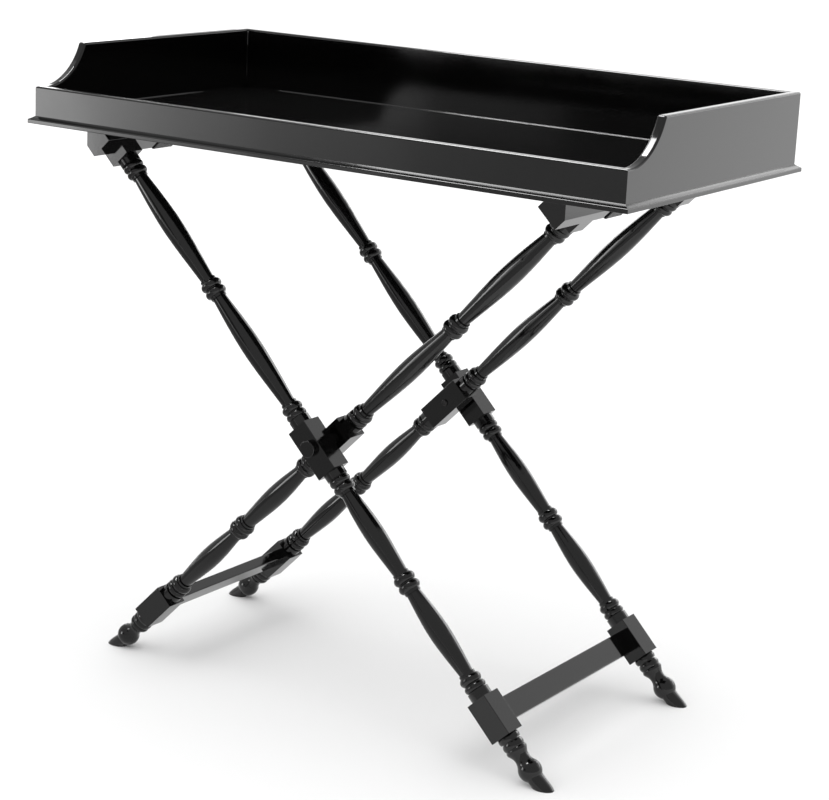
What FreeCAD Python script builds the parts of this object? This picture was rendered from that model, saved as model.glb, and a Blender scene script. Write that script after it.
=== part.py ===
# Folding tray table: a galleried tray that rests on two crossed frames of turned legs.
#
# Everything is in millimetres.  +Z is up, +X runs along the tray, the low lip of the tray faces -Y,
# and the origin is on the floor under the middle of the tray.
#
# The outer frame leans from the top at -X to the floor at +X.  The inner frame stands between its
# legs and is the same frame turned half round about Z, only narrower.
import FreeCAD, Part
import math
import os

from FreeCAD import Placement, Rotation, Vector

# ---------------------------------------------------------------- tray
tray_underside = 818.0
board_length = 984.0
board_depth = 500.0
board_thickness = 13.0
lip_height = 54.0
gallery_height = 113.0
top_edge_round = 3.0
scoop_start = 8.0
scoop_radius = 90.0
scoop_corner_round = 4.0

moulding_proud = 8.0
moulding_width = 33.0
moulding_band = 6.0
moulding_height = 10.6
moulding_nose_round = 2.0
# The hollow of the moulding's sloping top passes this share of the way in and up at its middle: 0.5 is flat.
moulding_cove_share = 0.46
floor_thickness = 9.4
soft_edge = 0.8

# ---------------------------------------------------------------- stand
leg_top_x = 397.5
leg_foot_x = 400.0
outer_leg_y = 198.5
inner_leg_y = 153.0
leg_square = 35.5

rail_width = 38.0
rail_underside_along_leg = 34.3
rail_outer_face_x = 401.0
rail_half_length = 239.0
tenon_radius = 9.0
tenon_depth = 22.0

cross_block_start = 533.5
cross_block_end = 613.5
lower_block_start = 994.0
lower_block_end = 1056.0
leg_end = 1076.5

stretcher_middle = 1023.0
stretcher_width = 35.0
stretcher_thickness = 16.0
stretcher_edge_round = 1.5
stretcher_tenon_width = 24.0
stretcher_tenon_thickness = 9.0
stretcher_tenon_length = 14.0

# Between its neck, belly and foot a vase has risen by these shares of its swelling half way along.
vase_swell_above_belly = 0.68
vase_swell_below_belly = 0.63

hoof_tenon_radius = 6.0
hoof_tenon_length = 24.0
hoof_ankle_radius = 11.2
hoof_ball_middle = 1112.8
hoof_ball_radius = 17.1
# The ankle meets the ball where the ball is this share of its full radius.
hoof_throat_share = 0.8
toe_section_points = 12

# ---------------------------------------------------------------- pivot
bolt_radius = 3.0
bolt_head_radius = 6.0
bolt_head_thickness = 4.0
sleeve_nut_radius = 4.4
sleeve_nut_length = 14.0
nut_button_radius = 5.0
nut_button_proud = 2.5
nut_button_round = 1.2
cap_radius = 12.3
cap_thickness = 7.4
cap_edge_round = 1.2
cap_hollow_radius = 8.0
cap_hollow_depth = 5.0
spacer_radius = 15.0

# ---------------------------------------------------------------- straps
strap_width = 45.0
strap_thickness = 1.6
strap_outer_edge_y = 108.0
strap_gap = 0.35

# Clearance round a pin, a tenon or a bolt, the gap left between parts that move apart, the room left
# beyond the end of a tenon or bolt, and how far a cut starts outside the part that it is made in.
fit_clearance = 0.05
moving_gap = 0.3
end_room = 0.5
cut_start = 1.0

# ---------------------------------------------------------------- worked-out places
leg_slope = math.atan2(tray_underside, leg_top_x + leg_foot_x)
leg_tilt = math.degrees(leg_slope) - 90.0
pivot_height = tray_underside * leg_foot_x / (leg_top_x + leg_foot_x)
half_length = board_length / 2
half_depth = board_depth / 2
half_square = leg_square / 2

Y_AXIS = Vector(0, 1, 0)
Z_AXIS = Vector(0, 0, 1)


def polygon_prism(corners, direction):
    """A flat polygon pushed along a direction."""
    outline = Part.makePolygon(corners + corners[:1])
    return Part.Face(outline).extrude(direction)


def box(x0, x1, y0, y1, z0, z1):
    """A box between two opposite corners."""
    return Part.makeBox(x1 - x0, y1 - y0, z1 - z0, Vector(x0, y0, z0))


def cylinder_along_y(radius, y0, y1):
    """A round bar along Y on the pivot's axis."""
    low = min(y0, y1)
    return Part.makeCylinder(radius, abs(y1 - y0), Vector(0, low, pivot_height), Y_AXIS)


def turned_half_round(shape):
    """The same shape turned half round about Z, as the inner frame is to the outer one."""
    copy = shape.copy()
    copy.rotate(Vector(0, 0, 0), Z_AXIS, 180)
    return copy


# ================================================================ tray boards
def mitred_board(inner_corners, outer_corners, height):
    """A straight wall board with mitred ends, standing on the base frame."""
    corners = []
    for x, y in outer_corners + inner_corners:
        corners.append(Vector(x, y, tray_underside + moulding_height))
    board = polygon_prism(corners, Vector(0, 0, height - moulding_height))
    return round_long_top_edges(board, tray_underside + height)


def round_long_top_edges(board, top):
    """Round the two long edges along the top of a straight board."""
    edges = []
    for edge in board.Edges:
        on_top = abs(edge.BoundBox.ZMin - top) < 0.01
        if on_top and edge.Length > 4 * board_thickness:
            edges.append(edge)
    return board.makeFillet(top_edge_round, edges)


def make_lip_board():
    inner_x = half_length - board_thickness
    inner_y = half_depth - board_thickness
    outer = [(-half_length, -half_depth), (half_length, -half_depth)]
    inner = [(inner_x, -inner_y), (-inner_x, -inner_y)]
    return mitred_board(inner, outer, lip_height)


def make_back_board():
    inner_x = half_length - board_thickness
    inner_y = half_depth - board_thickness
    outer = [(half_length, half_depth), (-half_length, half_depth)]
    inner = [(-inner_x, inner_y), (inner_x, inner_y)]
    return mitred_board(inner, outer, gallery_height)


def make_right_end_board():
    """The +X end board: as low as the lip in front, then swept up by an arc to the gallery."""
    bottom = tray_underside + moulding_height
    low = tray_underside + lip_height
    high = tray_underside + gallery_height
    front = -half_depth
    back = half_depth
    start = front + scoop_start

    # The sweep is an arc whose centre is straight above its lowest point.
    whole_turn = math.acos(1 - (gallery_height - lip_height) / scoop_radius)

    def on_sweep(turn):
        y = start + scoop_radius * math.sin(turn)
        return Vector(0, y, low + scoop_radius * (1 - math.cos(turn)))

    sweep = Part.Arc(on_sweep(0), on_sweep(whole_turn / 2), on_sweep(whole_turn)).toShape()
    top_corner = on_sweep(whole_turn)
    edges = [
        Part.makeLine(Vector(0, front, bottom), Vector(0, front, low)),
        Part.makeLine(Vector(0, front, low), on_sweep(0)),
        sweep,
        Part.makeLine(top_corner, Vector(0, back, high)),
        Part.makeLine(Vector(0, back, high), Vector(0, back, bottom)),
        Part.makeLine(Vector(0, back, bottom), Vector(0, front, bottom)),
    ]
    board = Part.Face(Part.Wire(edges)).extrude(Vector(board_thickness, 0, 0))
    board.translate(Vector(half_length - board_thickness, 0, 0))
    board = soften_scoop_corner(board, top_corner.y)

    top_edges = []
    for edge in board.Edges:
        flat_across_board = edge.BoundBox.XLength < 0.01
        above_bottom = edge.BoundBox.ZMin > low - 0.01
        if flat_across_board and above_bottom:
            top_edges.append(edge)
    board = board.makeFillet(top_edge_round, top_edges)
    return board.common(end_board_plan())


def soften_scoop_corner(board, corner_y):
    """Round the ridge where the sweep meets the gallery's level top."""
    ridge = []
    for edge in board.Edges:
        across = abs(edge.BoundBox.XLength - board_thickness) < 0.01
        if across and abs(edge.BoundBox.YMin - corner_y) < 0.1 and edge.BoundBox.YLength < 0.1:
            ridge.append(edge)
    return board.makeFillet(scoop_corner_round, ridge)


def end_board_plan():
    """The mitred outline of the end board seen from above, as a tall prism."""
    inner_x = half_length - board_thickness
    inner_y = half_depth - board_thickness
    corners = [
        Vector(half_length, -half_depth, tray_underside),
        Vector(half_length, half_depth, tray_underside),
        Vector(inner_x, inner_y, tray_underside),
        Vector(inner_x, -inner_y, tray_underside),
    ]
    return polygon_prism(corners, Vector(0, 0, gallery_height + 10))


def mirrored_in_x(shape):
    return shape.mirror(Vector(0, 0, 0), Vector(1, 0, 0))


# ================================================================ tray base
def moulding_bar(length):
    """A bar of base moulding along X: its outer edge at y = -moulding_width, its inner one at 0."""
    start = -length / 2
    outer = -moulding_width
    board_face = outer + moulding_proud
    z0 = tray_underside
    band_top = z0 + moulding_band
    top = z0 + moulding_height
    cove_y = board_face - moulding_cove_share * moulding_proud
    cove_z = band_top + moulding_cove_share * (top - band_top)
    cove_middle = Vector(start, cove_y, cove_z)
    edges = [
        Part.makeLine(Vector(start, 0, z0), Vector(start, outer, z0)),
        Part.makeLine(Vector(start, outer, z0), Vector(start, outer, band_top)),
        Part.Arc(Vector(start, outer, band_top), cove_middle, Vector(start, board_face, top)).toShape(),
        Part.makeLine(Vector(start, board_face, top), Vector(start, 0, top)),
        Part.makeLine(Vector(start, 0, top), Vector(start, 0, z0)),
    ]
    bar = Part.Face(Part.Wire(edges)).extrude(Vector(length, 0, 0))
    bar = bar.makeFillet(moulding_nose_round, long_edges_at(bar, outer, band_top, length))
    return bar.makeFillet(soft_edge, long_edges_at(bar, outer, z0, length))


def long_edges_at(bar, y, z, length):
    """The edge that runs the whole length of a bar along X at the given y and z, as a list."""
    found = []
    for edge in bar.Edges:
        away_in_y = abs(edge.BoundBox.YMin - y)
        away_in_z = abs(edge.BoundBox.ZMin - z)
        if max(away_in_y, away_in_z) < 0.01 and edge.BoundBox.XLength > length - 0.01:
            found.append(edge)
    return found


def mitred_moulding(length):
    """The same bar with both ends cut back at 45 degrees."""
    half = length / 2
    outer = -moulding_width
    corners = [
        Vector(-half, outer, tray_underside),
        Vector(half, outer, tray_underside),
        Vector(half - moulding_width, 0, tray_underside),
        Vector(-half + moulding_width, 0, tray_underside),
    ]
    return moulding_bar(length).common(polygon_prism(corners, Vector(0, 0, moulding_height)))


def make_base_moulding(side):
    long_side = side in ("front", "back")
    length = board_length + 2 * moulding_proud
    depth = board_depth + 2 * moulding_proud
    if long_side:
        bar = mitred_moulding(length)
        reach = depth / 2
    else:
        bar = mitred_moulding(depth)
        reach = length / 2
    bar.translate(Vector(0, -(reach - moulding_width), 0))
    turn = {"front": 0, "right": 90, "back": 180, "left": 270}[side]
    bar.rotate(Vector(0, 0, 0), Z_AXIS, turn)
    return bar


def make_tray_floor():
    x = half_length - board_thickness
    y = half_depth - board_thickness
    bottom = tray_underside + moulding_height
    return box(-x, x, -y, y, bottom, bottom + floor_thickness)


# ================================================================ legs
# A leg is built standing on its head: its axis is Z and "along" is measured downwards from the tray's
# underside, so a point that is `along` down the leg is at z = -along.
class TurnedOutline:
    """The outline of a turning, drawn from the top down as (radius, along the leg)."""

    def __init__(self, start, radius):
        self.start = start
        self.along = start
        self.radius = radius
        self.edges = []
        self.line_from(0, start, radius, start)

    def point(self, radius, along):
        return Vector(radius, 0, -along)

    def line_from(self, r0, a0, r1, a1):
        self.edges.append(Part.makeLine(self.point(r0, a0), self.point(r1, a1)))

    def step(self, radius):
        """Straight in or out to another radius."""
        if abs(radius - self.radius) > 1e-6:
            self.line_from(self.radius, self.along, radius, self.along)
        self.radius = radius

    def collar(self, end, radius):
        """A plain cylinder."""
        self.step(radius)
        self.line_from(radius, self.along, radius, end)
        self.along = end

    def taper(self, end, radius):
        """A straight cone."""
        self.line_from(self.radius, self.along, radius, end)
        self.along = end
        self.radius = radius

    def bead(self, end, crest, depth):
        """A full round bead that rises and falls by depth below its crest."""
        root = crest - depth
        self.step(root)
        middle = self.point(crest, (self.along + end) / 2)
        first = self.point(root, self.along)
        last = self.point(root, end)
        self.edges.append(Part.Arc(first, middle, last).toShape())
        self.along = end
        self.radius = root

    def groove(self, end, radius):
        """A narrow cut between two beads."""
        self.step(radius)
        self.line_from(radius, self.along, radius, end)
        self.along = end

    def vase(self, neck, belly_at, belly, end, foot):
        """A long slim baluster: a neck, a belly and a foot."""
        self.step(neck)
        start = self.along
        above = (start + belly_at) / 2
        below = (belly_at + end) / 2
        points = [
            self.point(neck, start),
            self.point(neck + vase_swell_above_belly * (belly - neck), above),
            self.point(belly, belly_at),
            self.point(foot + vase_swell_below_belly * (belly - foot), below),
            self.point(foot, end),
        ]
        curve = Part.BSplineCurve()
        curve.interpolate(points)
        self.edges.append(curve.toShape())
        self.along = end
        self.radius = foot

    def ankle_and_ball(self, ankle_radius, ball_middle, ball_radius):
        """A hollow ankle that runs into a ball, which closes the outline at the axis."""
        throat = hoof_throat_share * ball_radius
        throat_at = ball_middle - math.sqrt(ball_radius ** 2 - throat ** 2)
        ankle = self.point(ankle_radius, (self.along + throat_at) / 2)
        start = self.point(self.radius, self.along)
        join = self.point(throat, throat_at)
        self.edges.append(Part.Arc(start, ankle, join).toShape())
        crest = self.point(ball_radius, ball_middle)
        end = self.point(0, ball_middle + ball_radius)
        self.edges.append(Part.Arc(join, crest, end).toShape())
        self.along = ball_middle + ball_radius
        self.radius = 0

    def solid(self):
        """Close the outline at the axis and spin it."""
        if self.radius > 0:
            self.line_from(self.radius, self.along, 0, self.along)
        self.line_from(0, self.along, 0, self.start)
        face = Part.Face(Part.Wire(self.edges))
        return face.revolve(Vector(0, 0, 0), Z_AXIS, 360)


def upper_turning(top_block_end):
    """The turning between the top block and the cross block: two long vases and three ring groups."""
    outline = TurnedOutline(top_block_end, 15.4)
    outline.collar(67.3, 15.4)
    outline.groove(68.6, 13.2)
    outline.bead(77.0, 15.7, 2.0)
    outline.groove(78.2, 13.0)
    outline.bead(88.4, 15.7, 2.8)
    outline.collar(92.2, 12.0)
    outline.vase(10.3, 178.0, 15.2, 277.0, 9.9)
    outline.collar(281.3, 11.9)
    outline.bead(292.6, 15.8, 3.0)
    outline.groove(294.0, 12.6)
    outline.bead(304.6, 15.9, 2.8)
    outline.collar(308.8, 11.9)
    outline.vase(10.1, 398.0, 15.1, 494.5, 10.0)
    outline.collar(499.0, 11.9)
    outline.bead(510.0, 15.7, 2.8)
    outline.groove(511.3, 13.0)
    outline.bead(520.4, 15.6, 2.0)
    outline.groove(521.7, 13.4)
    outline.collar(cross_block_start, 15.4)
    return outline.solid()


def lower_turning():
    """The turning between the cross block and the lower block: two shorter vases, three ring groups."""
    outline = TurnedOutline(cross_block_end, 16.0)
    outline.collar(624.2, 16.0)
    outline.groove(625.4, 13.8)
    outline.bead(634.6, 15.9, 2.0)
    outline.groove(636.0, 13.4)
    outline.bead(647.0, 16.1, 2.8)
    outline.collar(651.2, 12.2)
    outline.vase(10.6, 716.0, 15.1, 786.0, 10.8)
    outline.collar(790.6, 12.2)
    outline.bead(802.3, 16.2, 3.0)
    outline.groove(803.7, 13.2)
    outline.bead(815.0, 16.3, 2.8)
    outline.collar(819.4, 12.2)
    outline.vase(10.6, 886.0, 15.4, 954.0, 10.4)
    outline.collar(958.6, 12.2)
    outline.bead(970.4, 16.2, 3.0)
    outline.groove(971.7, 13.4)
    outline.bead(980.6, 16.2, 2.0)
    outline.groove(981.8, 14.0)
    outline.collar(lower_block_start, 16.1)
    return outline.solid()


def ankle_rings():
    """The two rings below the lower block."""
    outline = TurnedOutline(lower_block_end, 16.2)
    outline.bead(1064.8, 16.4, 1.2)
    outline.groove(1066.3, 13.2)
    outline.bead(leg_end, 16.0, 1.8)
    return outline.solid()


def square_block(start, end):
    """A square block on the leg, its four long edges just broken."""
    block = box(-half_square, half_square, -half_square, half_square, -end, -start)
    long_edges = [edge for edge in block.Edges if edge.BoundBox.ZLength > end - start - 0.01]
    return block.makeFillet(soft_edge, long_edges)


def leg_blank():
    """One turned leg about its own axis, with the round tenon that enters the top rail."""
    top_block_end = 57.0
    shape = square_block(rail_underside_along_leg, top_block_end)
    pieces = [
        upper_turning(top_block_end),
        square_block(cross_block_start, cross_block_end),
        lower_turning(),
        square_block(lower_block_start, lower_block_end),
        ankle_rings(),
        tenon_for_rail(tenon_radius, rail_underside_along_leg - tenon_depth),
    ]
    for piece in pieces:
        shape = shape.fuse(piece)
    mouth = Vector(0, 0, -leg_end - cut_start)
    socket_length = cut_start + hoof_tenon_length + end_room
    socket = Part.makeCylinder(hoof_tenon_radius + fit_clearance, socket_length, mouth)
    return shape.cut(socket).removeSplitter()


def tenon_for_rail(radius, top):
    return Part.makeCylinder(radius, rail_underside_along_leg - top, Vector(0, 0, -rail_underside_along_leg))


def onto_leg_axis(shape, y):
    """Lean a leg-aligned shape onto the outer frame's leg axis at this y."""
    copy = shape.copy()
    lean = Placement(Vector(-leg_top_x, y, tray_underside), Rotation(Y_AXIS, leg_tilt))
    copy.Placement = lean.multiply(copy.Placement)
    return copy


def stretcher_offset(inner):
    """How far off the leg's axis the stretcher is: centred, or flush with the face under the leg."""
    if inner:
        return 0.0
    return stretcher_thickness / 2 - half_square


def stretcher_bar(width, thickness, y0, y1, offset):
    """A flat bar along Y between the lower blocks, about the leg's own axis."""
    top = -stretcher_middle + width / 2
    bottom = -stretcher_middle - width / 2
    return box(offset - thickness / 2, offset + thickness / 2, y0, y1, bottom, top)


def stretcher_socket(y_inward, inner):
    """The mortise in a lower block for the stretcher's tenon; y_inward is +1 or -1."""
    width = stretcher_tenon_width + 2 * fit_clearance
    thickness = stretcher_tenon_thickness + 2 * fit_clearance
    deep = half_square - stretcher_tenon_length - end_room
    shallow = half_square + cut_start
    y0 = min(y_inward * deep, y_inward * shallow)
    y1 = max(y_inward * deep, y_inward * shallow)
    return stretcher_bar(width, thickness, y0, y1, stretcher_offset(inner))


def make_leg(leg_y, end_sign, inner):
    """A finished leg in place.  end_sign is -1 for the lip side and +1 for the back."""
    blank = leg_blank().cut(stretcher_socket(-end_sign, inner))
    leg = onto_leg_axis(blank, end_sign * leg_y)
    far_side = end_sign * (leg_y + half_square + cut_start)
    near_side = end_sign * (leg_y - half_square - cut_start)
    leg = leg.cut(cylinder_along_y(bolt_radius + fit_clearance, near_side, far_side))
    if inner:
        seat_end = end_sign * (leg_y - half_square + sleeve_nut_length)
        leg = leg.cut(cylinder_along_y(sleeve_nut_radius + fit_clearance, near_side, seat_end))
    return leg


# ================================================================ hooves
# A hoof is turned down to a ball on the leg's axis, and a toe grows out of the ball on to the floor.
# The toe is a loft through elliptical sections placed by x and z on the outer frame, looking along Y.
# Each is ((x, z), half length, half width along Y, degrees that its long way leans up from level);
# the last one is under the floor, where the toe is cut off flat.
toe_sections = [
    ((383.9, 19.8), 11.8, 13.0, 34.0),
    ((391.9, 9.1), 11.6, 13.2, 30.0),
    ((401.2, 0.0), 16.1, 12.2, 4.0),
    ((403.2, -4.0), 16.6, 11.8, 1.0),
]


def hoof_turning():
    """The cuff, ankle and ball, with the tenon that goes up into the leg."""
    outline = TurnedOutline(leg_end, 15.2)
    outline.bead(1083.0, 15.8, 1.2)
    outline.taper(1088.0, 12.0)
    outline.ankle_and_ball(hoof_ankle_radius, hoof_ball_middle, hoof_ball_radius)
    tenon = Part.makeCylinder(hoof_tenon_radius, hoof_tenon_length, Vector(0, 0, -leg_end))
    return outline.solid().fuse(tenon)


def leaning_ellipse(centre_x, y, centre_z, half_long, half_wide, lean):
    """A closed elliptical section whose long way leans up by this many degrees."""
    angle = math.radians(lean)
    centre = Vector(centre_x, y, centre_z)
    along = Vector(math.cos(angle), 0, math.sin(angle))
    points = []
    for step in range(toe_section_points):
        turn = 2 * math.pi * step / toe_section_points
        points.append(centre + along * (half_long * math.cos(turn)) + Y_AXIS * (half_wide * math.sin(turn)))
    ring = Part.BSplineCurve()
    ring.interpolate(Points=points, PeriodicFlag=True)
    return Part.Wire(ring.toShape())


def make_toe(y):
    wires = []
    for (x, z), half_long, half_wide, lean in toe_sections:
        wires.append(leaning_ellipse(x, y, z, half_long, half_wide, lean))
    toe = Part.makeLoft(wires, True, False)
    under_floor = box(leg_foot_x - 100, leg_foot_x + 100, y - 60, y + 60, -60, 0)
    return toe.cut(under_floor)


def make_hoof(leg_y, end_sign):
    y = end_sign * leg_y
    return make_toe(y).fuse(onto_leg_axis(hoof_turning(), y)).removeSplitter()


# ================================================================ rails and stretchers
def rail_section_corners(growth):
    """The five corners of the outer frame's top rail section, pushed outwards by `growth`."""
    half = rail_width / 2 + growth
    top = tray_underside + growth
    outer_x = -rail_outer_face_x - growth
    lower = rail_underside_along_leg + growth
    cos = math.cos(leg_slope)
    sin = math.sin(leg_slope)
    axis_x = -leg_top_x + lower * cos
    axis_z = tray_underside - lower * sin
    inner_low = (axis_x + half * sin, axis_z + half * cos)
    outer_low = (axis_x - half * sin, axis_z - half * cos)
    rise = (top - inner_low[1]) / sin
    inner_top = (inner_low[0] - rise * cos, top)
    run = (outer_low[0] - outer_x) / cos
    outer_side = (outer_x, outer_low[1] + run * sin)
    outer_top = (outer_x, top)
    return [outer_top, outer_side, outer_low, inner_low, inner_top]


def make_top_rail(leg_y):
    corners = []
    for x, z in rail_section_corners(0.0):
        corners.append(Vector(x, -rail_half_length, z))
    rail = polygon_prism(corners, Vector(0, 2 * rail_half_length, 0))
    long_edges = [edge for edge in rail.Edges if edge.BoundBox.YLength > rail_half_length]
    rail = rail.makeFillet(soft_edge, long_edges)
    for end_sign in (-1, 1):
        top = rail_underside_along_leg - tenon_depth - end_room
        socket = tenon_for_rail(tenon_radius + fit_clearance, top)
        rail = rail.cut(onto_leg_axis(socket, end_sign * leg_y))
    return rail


def make_stretcher(leg_y, inner):
    """A flat bar between the two lower blocks, with a tenon at each end."""
    offset = stretcher_offset(inner)
    shoulder = leg_y - half_square
    bar = stretcher_bar(stretcher_width, stretcher_thickness, -shoulder, shoulder, offset)
    long_edges = [edge for edge in bar.Edges if edge.BoundBox.YLength > 2 * shoulder - 0.01]
    bar = bar.makeFillet(stretcher_edge_round, long_edges)
    reach = shoulder + stretcher_tenon_length
    tenons = stretcher_bar(stretcher_tenon_width, stretcher_tenon_thickness, -reach, reach, offset)
    return onto_leg_axis(bar.fuse(tenons).removeSplitter(), 0)


# ================================================================ pivot hardware
outer_face_y = outer_leg_y + half_square
gap_start_y = outer_leg_y - half_square
gap_end_y = inner_leg_y + half_square
inner_face_y = inner_leg_y - half_square


def make_pivot_bolt(end_sign):
    """Shank and head: the head sits just off the outer leg, under the cap."""
    head_start = outer_face_y + moving_gap
    shank_start = inner_face_y + 2 * end_room
    shank = cylinder_along_y(bolt_radius, end_sign * shank_start, end_sign * head_start)
    head_end = head_start + bolt_head_thickness
    head = cylinder_along_y(bolt_head_radius, end_sign * head_start, end_sign * head_end)
    return shank.fuse(head).removeSplitter()


def make_pivot_cap(end_sign):
    """A round flat button over the bolt head, hollow behind."""
    cap = cylinder_along_y(cap_radius, end_sign * outer_face_y, end_sign * (outer_face_y + cap_thickness))
    rim = []
    for edge in cap.Edges:
        at_front = abs(edge.BoundBox.YMin - end_sign * (outer_face_y + cap_thickness)) < 0.01
        if at_front and edge.BoundBox.YLength < 0.01:
            rim.append(edge)
    cap = cap.makeFillet(cap_edge_round, rim)
    hollow_end = outer_face_y + cap_hollow_depth
    hollow_start = outer_face_y - cut_start
    return cap.cut(cylinder_along_y(cap_hollow_radius, end_sign * hollow_start, end_sign * hollow_end))


def make_pivot_spacer(end_sign):
    """A thick washer on the outer leg that keeps the two frames apart."""
    y0 = end_sign * gap_start_y
    y1 = end_sign * (gap_end_y + moving_gap)
    disc = cylinder_along_y(spacer_radius, y0, y1)
    hole_start = gap_end_y - cut_start
    hole_end = gap_start_y + cut_start
    hole = cylinder_along_y(bolt_radius + fit_clearance, end_sign * hole_start, end_sign * hole_end)
    return disc.cut(hole)


def make_sleeve_nut(end_sign):
    """The nut let into the inner leg, closed by a round button that stands on the leg's inner face."""
    button_top_y = end_sign * (inner_face_y - nut_button_proud)
    button = cylinder_along_y(nut_button_radius, button_top_y, end_sign * inner_face_y)
    rim = []
    for edge in button.Edges:
        at_top = abs(edge.BoundBox.YMin - button_top_y) < 0.01
        if at_top and edge.BoundBox.YLength < 0.01:
            rim.append(edge)
    button = button.makeFillet(nut_button_round, rim)
    nut_end_y = end_sign * (inner_face_y + sleeve_nut_length)
    sleeve = cylinder_along_y(sleeve_nut_radius, end_sign * inner_face_y, nut_end_y)
    bore_start_y = end_sign * (inner_face_y + end_room)
    bore = cylinder_along_y(bolt_radius + fit_clearance, bore_start_y, nut_end_y + end_sign * cut_start)
    return button.fuse(sleeve).cut(bore).removeSplitter()


# ================================================================ straps
def strap_loop(growth_in, growth_out, y0):
    """The part of a strap that is wrapped round the outer frame's rail."""
    outside = [Vector(x, y0, z) for x, z in rail_section_corners(growth_out)]
    inside = [Vector(x, y0, z) for x, z in rail_section_corners(growth_in)]
    along = Vector(0, strap_width, 0)
    return polygon_prism(outside, along).cut(polygon_prism(inside, along))


def make_strap(y0):
    """A webbing strap from rail to rail under the tray, looped round both."""
    inner_growth = strap_gap
    outer_growth = strap_gap + strap_thickness
    loop = strap_loop(inner_growth, outer_growth, y0)
    other_loop = strap_loop(inner_growth, outer_growth, -y0 - strap_width)
    other_loop = turned_half_round(other_loop)
    low = tray_underside + inner_growth
    reach = abs(rail_section_corners(inner_growth)[4][0])
    span = box(-reach, reach, y0, y0 + strap_width, low, low + strap_thickness)
    return span.fuse(loop).fuse(other_loop).removeSplitter()


# ================================================================ everything, by name
def make_frame(name, leg_y, inner):
    nodes = {}
    nodes[name + "_top_rail"] = make_top_rail(leg_y)
    nodes[name + "_stretcher"] = make_stretcher(leg_y, inner)
    for end_name, end_sign in (("front", -1), ("back", 1)):
        built_at = -end_sign if inner else end_sign
        nodes[name + "_leg_" + end_name] = make_leg(leg_y, built_at, inner)
        nodes[name + "_hoof_" + end_name] = make_hoof(leg_y, built_at)
    if inner:
        for node in nodes:
            nodes[node] = turned_half_round(nodes[node])
    return nodes


def make_all():
    nodes = {
        "tray_floor": make_tray_floor(),
        "lip_board": make_lip_board(),
        "back_board": make_back_board(),
        "right_end_board": make_right_end_board(),
        "left_end_board": mirrored_in_x(make_right_end_board()),
    }
    for side in ("front", "back", "left", "right"):
        nodes["base_moulding_" + side] = make_base_moulding(side)
    nodes.update(make_frame("outer", outer_leg_y, False))
    nodes.update(make_frame("inner", inner_leg_y, True))
    for end_name, end_sign in (("front", -1), ("back", 1)):
        nodes["pivot_bolt_" + end_name] = make_pivot_bolt(end_sign)
        nodes["pivot_cap_" + end_name] = make_pivot_cap(end_sign)
        nodes["pivot_spacer_" + end_name] = make_pivot_spacer(end_sign)
        nodes["sleeve_nut_" + end_name] = make_sleeve_nut(end_sign)
    nodes["strap_front"] = make_strap(-strap_outer_edge_y)
    nodes["strap_back"] = make_strap(strap_outer_edge_y - strap_width)
    return nodes


os.makedirs("parts", exist_ok=True)
for node, shape in make_all().items():
    print(node, "valid", shape.isValid(), "solids", len(shape.Solids), "volume", round(shape.Volume))
    shape.exportStep("parts/" + node + ".step")
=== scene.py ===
import bpy
import bmesh
import math
from mathutils import Matrix, Vector


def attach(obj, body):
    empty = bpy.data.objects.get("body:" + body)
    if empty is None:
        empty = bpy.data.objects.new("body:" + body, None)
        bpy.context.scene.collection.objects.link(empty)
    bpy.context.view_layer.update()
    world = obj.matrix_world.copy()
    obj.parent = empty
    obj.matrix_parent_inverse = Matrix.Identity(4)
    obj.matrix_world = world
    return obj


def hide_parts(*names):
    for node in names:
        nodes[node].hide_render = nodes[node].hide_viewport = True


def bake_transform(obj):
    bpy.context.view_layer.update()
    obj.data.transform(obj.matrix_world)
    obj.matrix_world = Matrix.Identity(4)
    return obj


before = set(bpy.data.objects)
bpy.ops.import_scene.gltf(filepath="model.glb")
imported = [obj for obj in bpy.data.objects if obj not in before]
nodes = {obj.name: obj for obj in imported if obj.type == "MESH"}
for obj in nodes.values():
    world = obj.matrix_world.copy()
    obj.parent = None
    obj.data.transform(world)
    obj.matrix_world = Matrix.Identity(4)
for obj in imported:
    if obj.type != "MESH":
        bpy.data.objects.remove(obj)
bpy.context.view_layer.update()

# ------------------------------------------------------------------ camera
view_azimuth = math.radians(32.954)
view_pitch = math.radians(14.515)
view_roll = math.radians(2.797)
camera_place = Vector((1.8157, -2.7513, 1.2948))
camera_lens_mm = 99.575
camera_sensor_mm = 36.0
camera_reach = 200.0

back = Vector((
    math.sin(view_azimuth) * math.cos(view_pitch),
    -math.cos(view_azimuth) * math.cos(view_pitch),
    math.sin(view_pitch),
))
right = Vector((math.cos(view_azimuth), math.sin(view_azimuth), 0.0))
up = back.cross(right)
camera_x = right * math.cos(view_roll) + up * math.sin(view_roll)
camera_y = up * math.cos(view_roll) - right * math.sin(view_roll)

camera_data = bpy.data.cameras.new("camera")
camera_data.lens = camera_lens_mm
camera_data.sensor_width = camera_sensor_mm
camera_data.clip_end = camera_reach
camera = bpy.data.objects.new("camera", camera_data)
bpy.context.scene.collection.objects.link(camera)
turn = Matrix((camera_x, camera_y, back)).transposed().to_4x4()
camera.matrix_world = Matrix.Translation(camera_place) @ turn
bpy.context.scene.camera = camera

scene = bpy.context.scene
scene.view_settings.view_transform = "Standard"

# ------------------------------------------------------------------ material helpers
lacquer_ior = 1.5
lacquer_dark = (0.0005, 0.0005, 0.00055)
lacquer_light = (0.0015, 0.00145, 0.0014)
grain_scale = 60
roughness_cloud_scale = 9
ripple_scale = 90
lacquer_relief = 0.0003
grain_strength = 0.05
ripple_strength = 0.04
roughness_below = 0.02
roughness_above = 0.03

steel_dark = (0.012, 0.012, 0.013)
steel_light = (0.035, 0.033, 0.032)

thread_dark = (0.004, 0.004, 0.004)
thread_light = (0.022, 0.021, 0.022)
warp_scale = 150
weft_scale = 210
fuzz_scale = 260


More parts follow.
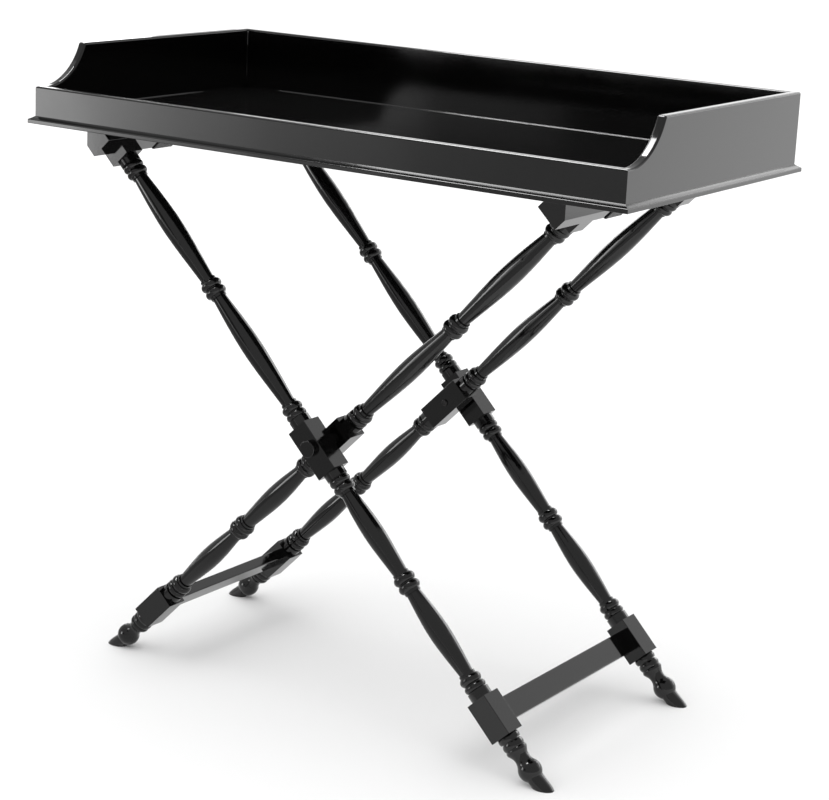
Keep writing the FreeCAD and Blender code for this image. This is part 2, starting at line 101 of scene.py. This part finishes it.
def new_material(name):
    material = bpy.data.materials.new(name)
    material.use_nodes = True
    tree = material.node_tree
    shader = tree.nodes["Principled BSDF"]
    return material, tree, shader


def add(tree, kind, **values):
    node = tree.nodes.new(kind)
    for key, value in values.items():
        setattr(node, key, value)
    return node


def noise(tree, vector, scale, detail):
    node = add(tree, "ShaderNodeTexNoise")
    node.inputs["Scale"].default_value = scale
    node.inputs["Detail"].default_value = detail
    tree.links.new(vector, node.inputs["Vector"])
    return node.outputs["Fac"]


def spread(tree, value, low, high, from_low=0.3, from_high=0.7):
    """Stretch a noise value to run from low to high."""
    node = add(tree, "ShaderNodeMapRange")
    node.inputs["From Min"].default_value = from_low
    node.inputs["From Max"].default_value = from_high
    node.inputs["To Min"].default_value = low
    node.inputs["To Max"].default_value = high
    tree.links.new(value, node.inputs["Value"])
    return node.outputs["Result"]


def two_tones(tree, value, dark, light):
    node = add(tree, "ShaderNodeMix", data_type="RGBA")
    node.inputs["A"].default_value = (*dark, 1)
    node.inputs["B"].default_value = (*light, 1)
    tree.links.new(value, node.inputs["Factor"])
    return node.outputs["Result"]


def bump(tree, height, strength, distance, under=None):
    node = add(tree, "ShaderNodeBump")
    node.inputs["Strength"].default_value = strength
    node.inputs["Distance"].default_value = distance
    tree.links.new(height, node.inputs["Height"])
    if under is not None:
        tree.links.new(under, node.inputs["Normal"])
    return node.outputs["Normal"]


def lacquer(name, turn_y, grain, roughness, painted_sheen=0.0):
    """Black lacquer over wood: a glossy film with a faint grain under it and a slight ripple in it.
    turn_y turns the grain about Y, grain is its closeness along x, y and z, and the last argument
    lightens the base colour: a painted sheen and painted overhead light."""
    material, tree, shader = new_material(name)
    shader.inputs["IOR"].default_value = lacquer_ior
    place = add(tree, "ShaderNodeTexCoord").outputs["Object"]
    mapping = add(tree, "ShaderNodeMapping")
    mapping.inputs["Rotation"].default_value = (0, turn_y, 0)
    mapping.inputs["Scale"].default_value = grain
    tree.links.new(place, mapping.inputs["Vector"])
    fibres = noise(tree, mapping.outputs["Vector"], grain_scale, 5)
    cloud = noise(tree, place, roughness_cloud_scale, 3)
    ripple = noise(tree, place, ripple_scale, 1)
    # Painted sheen: the last argument lightens both tones of the base colour.
    dark = [value + painted_sheen for value in lacquer_dark]
    light = [value + painted_sheen for value in lacquer_light]
    colour = two_tones(tree, spread(tree, fibres, 0, 1), dark, light)
    tree.links.new(colour, shader.inputs["Base Color"])
    rough = spread(tree, cloud, roughness - roughness_below, roughness + roughness_above)
    tree.links.new(rough, shader.inputs["Roughness"])
    grain_normal = bump(tree, fibres, grain_strength, lacquer_relief)
    ripple_normal = bump(tree, ripple, ripple_strength, lacquer_relief, grain_normal)
    tree.links.new(ripple_normal, shader.inputs["Normal"])
    return material


def blackened_steel():
    """Bolt and nut: blackened and oiled metal with fine turning marks."""
    material, tree, shader = new_material("blackened_steel")
    shader.inputs["Metallic"].default_value = 0.7
    shader.inputs["IOR"].default_value = 1.6
    place = add(tree, "ShaderNodeTexCoord").outputs["Object"]
    fine = noise(tree, place, 900, 2)
    cloud = noise(tree, place, 120, 3)
    colour = two_tones(tree, spread(tree, cloud, 0, 1), steel_dark, steel_light)
    tree.links.new(colour, shader.inputs["Base Color"])
    tree.links.new(spread(tree, cloud, 0.2, 0.36), shader.inputs["Roughness"])
    tree.links.new(bump(tree, fine, 0.15, 0.0002), shader.inputs["Normal"])
    return material


def webbing():
    """Black woven tape: warp and weft threads from the strap's own lengthwise map."""
    material, tree, shader = new_material("black_webbing")
    shader.inputs["Sheen Weight"].default_value = 0.35
    shader.inputs["Sheen Roughness"].default_value = 0.5
    shader.inputs["Specular IOR Level"].default_value = 0.3
    along = add(tree, "ShaderNodeUVMap", uv_map="strap").outputs["UV"]
    bands = {"wave_type": "BANDS", "wave_profile": "SIN"}
    warp = add(tree, "ShaderNodeTexWave", bands_direction="X", **bands)
    weft = add(tree, "ShaderNodeTexWave", bands_direction="Y", **bands)
    for wave, scale in ((warp, warp_scale), (weft, weft_scale)):
        wave.inputs["Scale"].default_value = scale
        wave.inputs["Distortion"].default_value = 0.6
        wave.inputs["Detail"].default_value = 1
        tree.links.new(along, wave.inputs["Vector"])
    weave = add(tree, "ShaderNodeMath", operation="MULTIPLY")
    tree.links.new(warp.outputs["Fac"], weave.inputs[0])
    tree.links.new(weft.outputs["Fac"], weave.inputs[1])
    threads = weave.outputs["Value"]
    colour = two_tones(tree, spread(tree, threads, 0, 1, 0, 0.8), thread_dark, thread_light)
    fuzz = noise(tree, along, fuzz_scale, 3)
    tree.links.new(colour, shader.inputs["Base Color"])
    tree.links.new(spread(tree, fuzz, 0.62, 0.85), shader.inputs["Roughness"])
    fuzz_normal = bump(tree, fuzz, 0.2, 0.0003)
    tree.links.new(bump(tree, threads, 0.6, 0.0006, fuzz_normal), shader.inputs["Normal"])
    return material


# The grain is drawn out along the side that is 1.
leg_lean = math.radians(44.27)
grain_along_x = (1, 12, 12)
grain_along_y = (12, 1, 12)
grain_down_leg = (12, 12, 1)
lip_roughness = 0.14
board_roughness = 0.08
leg_roughness = 0.1
panel_roughness = 0.07
# The tray floor's base colour is lightened to paint in the sheen and overhead light on its upward
# face.
panel_painted_sheen = 0.0035

lip_lacquer = lacquer("lacquer_lip", 0, grain_along_x, lip_roughness)
along_x = lacquer("lacquer_along_x", 0, grain_along_x, board_roughness)
along_y = lacquer("lacquer_along_y", 0, grain_along_y, board_roughness)
along_outer = lacquer("lacquer_outer_legs", leg_lean, grain_down_leg, leg_roughness)
along_inner = lacquer("lacquer_inner_legs", -leg_lean, grain_down_leg, leg_roughness)
# The tray floor gets a lighter copy of the lacquer: painted sheen.
tray_panel = lacquer("lacquer_tray_floor", 0, grain_along_x, panel_roughness, panel_painted_sheen)
steel = blackened_steel()
tape = webbing()

boards_along_x = ("back_board", "base_moulding_front", "base_moulding_back")
boards_along_y = ("left_end_board", "right_end_board", "base_moulding_left", "base_moulding_right")
for name, node in nodes.items():
    if name == "tray_floor":
        chosen = tray_panel
    elif name == "lip_board":
        chosen = lip_lacquer
    elif name in boards_along_x:
        chosen = along_x
    elif name in boards_along_y or name.endswith("rail") or name.endswith("stretcher"):
        chosen = along_y
    elif name.startswith("pivot_bolt") or name.startswith("sleeve_nut"):
        chosen = steel
    elif name.startswith("strap"):
        chosen = tape
    elif name.startswith("inner"):
        chosen = along_inner
    else:
        chosen = along_outer
    for material_slot in node.material_slots:
        material_slot.material = chosen


# ------------------------------------------------------------------ straps
# The rails' section and the straps' places, in metres; they repeat the sizes of the frame.
tray_underside = 0.818
leg_slope = math.atan2(0.818, 0.7975)
leg_top_x = 0.3975
rail_width = 0.038
rail_underside_along_leg = 0.0343
rail_outer_face_x = 0.401
strap_width = 0.045
strap_thickness = 0.0016
strap_gap = 0.00035
strap_middle_y = 0.0855
seam_start = 0.022
seam_end = 0.046
# The seam's two layers lie this many thicknesses apart, middle to middle.
seam_layer_spacing = 1.06
corner_radius = 0.0018
corner_steps = 4
path_step = 0.008
straight_enough = 0.01
# A rounded corner uses at most one part in this many of each side beside it.
corner_share = 2.2
rib_columns = 24
rib_height = 0.00012
selvedge_height = 0.00018
# The tape's edges are drawn in by this share of its thickness.
edge_draw_in = 0.4


def rail_corners(growth):
    """Corners (x, z) of the outer frame's top rail, pushed outwards by growth: outer top, outer side,
    outer low and inner low."""
    half = rail_width / 2 + growth
    top = tray_underside + growth
    outer_x = -rail_outer_face_x - growth
    lower = rail_underside_along_leg + growth
    cos = math.cos(leg_slope)
    sin = math.sin(leg_slope)
    axis_x = -leg_top_x + lower * cos
    axis_z = tray_underside - lower * sin
    inner_low = Vector((axis_x + half * sin, axis_z + half * cos))
    outer_low = Vector((axis_x - half * sin, axis_z - half * cos))
    run = (outer_low.x - outer_x) / cos
    outer_side = Vector((outer_x, outer_low.y + run * sin))
    return [Vector((outer_x, top)), outer_side, outer_low, inner_low]


def rounded(corners, radius, steps):
    """The same open path with its corners rounded."""
    path = [corners[0]]
    for before, corner, after in zip(corners, corners[1:], corners[2:]):
        into = (corner - before).normalized()
        out = (after - corner).normalized()
        turn = math.acos(max(-1, min(1, into.dot(out))))
        if turn < straight_enough:
            path.append(corner)
            continue
        room_before = (corner - before).length / corner_share
        room_after = (after - corner).length / corner_share
        cut = min(radius * math.tan(turn / 2), room_before, room_after)
        start = corner - into * cut
        end = corner + out * cut
        for step in range(steps + 1):
            t = step / steps
            path.append(start * (1 - t) ** 2 + corner * 2 * t * (1 - t) + end * t * t)
    path.append(corners[-1])
    return path


def strap_path():
    """The middle line of a strap as (x, z): seam, round one rail, across, round the other, seam."""
    centre = strap_gap + strap_thickness / 2
    outer_top, outer_side, outer_low, inner_low = rail_corners(centre)
    under = tray_underside + centre - strap_thickness * seam_layer_spacing
    seam_near = Vector((inner_low.x + seam_start, under))
    seam_far = Vector((inner_low.x + seam_end, under))
    half = [seam_far, seam_near, inner_low, outer_low, outer_side, outer_top]
    other_half = [Vector((-p.x, p.y)) for p in reversed(half)]
    corners = rounded(half + other_half, corner_radius, corner_steps)
    path = [corners[0]]
    for point in corners[1:]:
        step = point - path[-1]
        pieces = max(1, round(step.length / path_step))
        start = path[-1]
        for i in range(1, pieces + 1):
            path.append(start + step * (i / pieces))
    return path


def strap_section():
    """The tape's section as (across, out): ribs run along it, with a thicker band near each edge."""
    half = strap_width / 2
    top = []
    for column in range(rib_columns + 1):
        across = -half + strap_width * column / rib_columns
        near_edge = column in (1, 2, rib_columns - 1, rib_columns - 2)
        lift = selvedge_height if near_edge else rib_height * (column % 2)
        if column in (0, rib_columns):
            lift = -edge_draw_in * strap_thickness
        top.append((across, strap_thickness / 2 - rib_height + lift))
    bottom = [(across, -out) for across, out in reversed(top)]
    return top + bottom


def make_strap(name, middle_y):
    """A strap as one tube of tape, and the length of its middle line."""
    path = strap_path()
    section = strap_section()
    mesh = bpy.data.meshes.new(name)
    build = bmesh.new()
    uv_layer = build.loops.layers.uv.new("strap")
    rings = []
    lengths = []
    length = 0.0
    for i, point in enumerate(path):
        before = path[max(0, i - 1)]
        after = path[min(len(path) - 1, i + 1)]
        tangent = (after - before).normalized()
        outward = Vector((-tangent.y, tangent.x))
        length += (point - before).length
        lengths.append(length)
        ring = []
        for across, out in section:
            x = point.x + outward.x * out
            z = point.y + outward.y * out
            ring.append(build.verts.new((x, middle_y + across, z)))
        rings.append(ring)
    count = len(section)
    for i in range(len(path) - 1):
        for j in range(count):
            k = (j + 1) % count
            face = build.faces.new((rings[i][j], rings[i][k], rings[i + 1][k], rings[i + 1][j]))
            places = ((section[j][0], lengths[i]), (section[k][0], lengths[i]),
                      (section[k][0], lengths[i + 1]), (section[j][0], lengths[i + 1]))
            for loop, place in zip(face.loops, places):
                loop[uv_layer].uv = place
    for ring, row in ((rings[0], 0), (rings[-1], -1)):
        face = build.faces.new(ring)
        for loop, (across, out) in zip(face.loops, section):
            loop[uv_layer].uv = (across, lengths[row] + out)
    bmesh.ops.recalc_face_normals(build, faces=build.faces)
    for face in build.faces:
        face.smooth = True
    build.to_mesh(mesh)
    build.free()
    mesh.materials.append(tape)
    strap = bpy.data.objects.new(name, mesh)
    scene.collection.objects.link(strap)
    return strap, length


for side, sign in (("front", -1), ("back", 1)):
    strap, length = make_strap("webbing_strap_" + side, sign * strap_middle_y)
    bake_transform(strap)
    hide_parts("strap_" + side)

# ------------------------------------------------------------------ glue coves inside the tray
inner_half_x = 0.479
inner_half_y = 0.237
tray_floor_top = 0.838
gallery_top = 0.931
lip_top = 0.872
# An upright cove stops this far below the rounded top of its boards.
top_room = 0.0035
cove_radius = 0.0011
cove_into_wall = 0.0004
cove_steps = 6
cove_cut_length = 0.02


def cove_section():
    """A hollow quarter round as (out of one wall, out of the other)."""
    points = [(-cove_into_wall, -cove_into_wall), (cove_radius, -cove_into_wall)]
    for step in range(cove_steps + 1):
        angle = math.pi / 2 * step / cove_steps
        points.append((cove_radius * (1 - math.sin(angle)), cove_radius * (1 - math.cos(angle))))
    points.append((-cove_into_wall, cove_radius))
    return points


def sweep_cove(name, start, end, side, rise):
    """A cove from start to end in the corner between the walls that side and rise point out of."""
    length = (end - start).length
    run = (end - start) / length
    cuts = max(2, int(length / cove_cut_length))
    build = bmesh.new()
    rings = []
    for cut in range(cuts + 1):
        middle = start + run * (length * cut / cuts)
        rings.append([build.verts.new(middle + side * a + rise * b) for a, b in cove_section()])
    count = len(rings[0])
    for ring, following in zip(rings, rings[1:]):
        for j in range(count):
            k = (j + 1) % count
            build.faces.new((ring[j], ring[k], following[k], following[j]))
    build.faces.new(rings[0])
    build.faces.new(rings[-1])
    bmesh.ops.recalc_face_normals(build, faces=build.faces)
    for face in build.faces:
        face.smooth = len(face.verts) == 4 and face.calc_area() < cove_cut_length * cove_radius
    mesh = bpy.data.meshes.new(name)
    build.to_mesh(mesh)
    build.free()
    mesh.materials.append(along_x)
    cove = bpy.data.objects.new(name, mesh)
    scene.collection.objects.link(cove)
    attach(cove, "tray")


up_axis = Vector((0, 0, 1))
for label, y_sign in (("back", 1), ("front", -1)):
    start = Vector((-inner_half_x, y_sign * inner_half_y, tray_floor_top))
    end = Vector((inner_half_x, y_sign * inner_half_y, tray_floor_top))
    sweep_cove("cove_" + label, start, end, Vector((0, -y_sign, 0)), up_axis)
for label, x_sign in (("right", 1), ("left", -1)):
    start = Vector((x_sign * inner_half_x, -inner_half_y, tray_floor_top))
    end = Vector((x_sign * inner_half_x, inner_half_y, tray_floor_top))
    inwards = Vector((-x_sign, 0, 0))
    sweep_cove("cove_" + label, start, end, inwards, up_axis)
    for depth, y_sign, board_top in (("back", 1, gallery_top), ("front", -1, lip_top)):
        foot = Vector((x_sign * inner_half_x, y_sign * inner_half_y, tray_floor_top))
        top = Vector((foot.x, foot.y, board_top - top_room))
        sweep_cove("cove_" + label + "_" + depth, foot, top, inwards, Vector((0, -y_sign, 0)))

# ------------------------------------------------------------------ floor and light
def facing_panel(name, azimuth, distance, low, high, width, strength, tilt=0.0):
    """A soft panel seen only as a reflection; azimuth 0 is behind the table, 90 on its right.
    strength is its brightness beside white, and tilt leans it forward over the table."""
    angle = math.radians(azimuth)
    place = Vector((math.sin(angle) * distance, math.cos(angle) * distance, (low + high) / 2))
    data = bpy.data.lights.new(name, "AREA")
    data.shape = "RECTANGLE"
    data.size = width
    data.size_y = high - low
    data.energy = strength * math.pi * width * (high - low)
    panel = bpy.data.objects.new(name, data)
    panel.location = place
    aim = Vector((-place.x, -place.y, -math.tan(tilt) * distance))
    panel.rotation_euler = aim.to_track_quat("-Z", "Y").to_euler()
    panel.visible_camera = False
    panel.visible_diffuse = False
    scene.collection.objects.link(panel)


def flag(name, corners, brightness):
    """A flat card that is seen only as a reflection."""
    data = bpy.data.meshes.new(name)
    data.from_pydata(corners, [], [(0, 1, 2, 3)])
    card = bpy.data.objects.new(name, data)
    scene.collection.objects.link(card)
    paint = bpy.data.materials.new(name)
    paint.use_nodes = True
    paint.node_tree.nodes.remove(paint.node_tree.nodes["Principled BSDF"])
    glow = add(paint.node_tree, "ShaderNodeEmission")
    glow.inputs["Color"].default_value = (brightness, brightness, brightness, 1)
    output = paint.node_tree.nodes["Material Output"]
    paint.node_tree.links.new(glow.outputs["Emission"], output.inputs["Surface"])
    data.materials.append(paint)
    card.visible_camera = False
    card.visible_diffuse = False
    card.visible_shadow = False


def level_corners(x0, x1, y0, y1, z):
    return [(x0, y0, z), (x1, y0, z), (x1, y1, z), (x0, y1, z)]


def floor_flag(name, x0, x1, y0, y1, brightness):
    """A card lying just over the floor, which darkens what the black lacquer mirrors of it."""
    flag(name, level_corners(x0, x1, y0, y1, 0.002), brightness)


mesh = bpy.data.meshes.new("floor")
reach = 60.0
mesh.from_pydata(level_corners(-reach, reach, -reach, reach, 0), [], [(0, 1, 2, 3)])
floor = bpy.data.objects.new("floor", mesh)
scene.collection.objects.link(floor)
paper, tree, shader = new_material("pale_floor")
shader.inputs["Base Color"].default_value = (0.8, 0.8, 0.8, 1)
shader.inputs["Roughness"].default_value = 0.9
shader.inputs["Specular IOR Level"].default_value = 0.1
mesh.materials.append(paper)

world = bpy.data.worlds.new("studio")
scene.world = world
world.use_nodes = True
background = world.node_tree.nodes["Background"]
background.inputs["Color"].default_value = (1, 1, 1, 1)
background.inputs["Strength"].default_value = 0.6

sun = bpy.data.lights.new("key", "SUN")
sun.energy = 2.9
sun.angle = math.radians(120)
key = bpy.data.objects.new("key", sun)
key.rotation_euler = (math.radians(10), math.radians(-8), 0)
key.visible_glossy = False
scene.collection.objects.link(key)

# The lip's front mirrors a strip on its left that falls away softly towards the right.
facing_panel("left_front_strip", -131.4, 4.2, 0.1, 1.5, 0.8, 3.0)
facing_panel("left_front_falloff_1", -132.8, 4.2, 0.1, 1.5, 1.0, 1.1)
facing_panel("left_front_falloff_2", -134.8, 4.2, 0.1, 1.5, 1.3, 0.9)
facing_panel("left_front_falloff_3", -138, 4.2, 0.1, 1.5, 1.82, 0.5)
# The right end, the rails and the legs' upper faces mirror the backdrop.
facing_panel("back_panel", 22, 4.5, 0.0, 4.0, 6.0, 0.58)
facing_panel("back_band", 12, 9.0, 1.3, 3.6, 7.6, 2.2)
facing_panel("back_left_panel", -26, 4.5, 0.9, 2.1, 2.4, 1.1)
facing_panel("left_back_strip", -53, 4.2, 1.2, 2.6, 1.2, 3.4)
# The rounded edges, the swept ends and the moulding's slope mirror the lights overhead.
facing_panel("overhead_left", -95, 2.4, 3.2, 4.6, 3.0, 0.6, math.radians(52))
facing_panel("softbox_left", -90, 1.75, 3.95, 5.15, 2.7, 20.0, math.radians(62))
facing_panel("back_high_left", -5, 9.0, 4.1, 6.5, 1.7, 1.3, math.radians(28))
facing_panel("back_hot_strip", 9, 9.0, 3.7, 5.7, 1.2, 3.2, math.radians(22))

# What the front and under faces mirror is a floor that is darker in places, and a dark room in front.
floor_flag("floor_flag_left", -4.5, -0.6, -3.0, 0.8, 0.4)
floor_flag("floor_flag_front", -0.6, 0.7, -3.0, -0.8, 0.55)
floor_flag("floor_flag_far", -7.0, 0.7, -9.0, -3.0, 0.6)
floor_flag("floor_flag_under_front", -0.6, 0.15, -0.8, -0.16, 0.65)
floor_flag("floor_flag_under_back", -0.3, 0.15, -0.16, 0.22, 0.65)
card_bottom = 1.1
card_top = 3.6
card_left = (-5.0, -6.9)
card_right = (-2.0, -8.3)
flag("front_card", [
    (*card_left, card_bottom),
    (*card_right, card_bottom),
    (*card_right, card_top),
    (*card_left, card_top),
], 0.15)
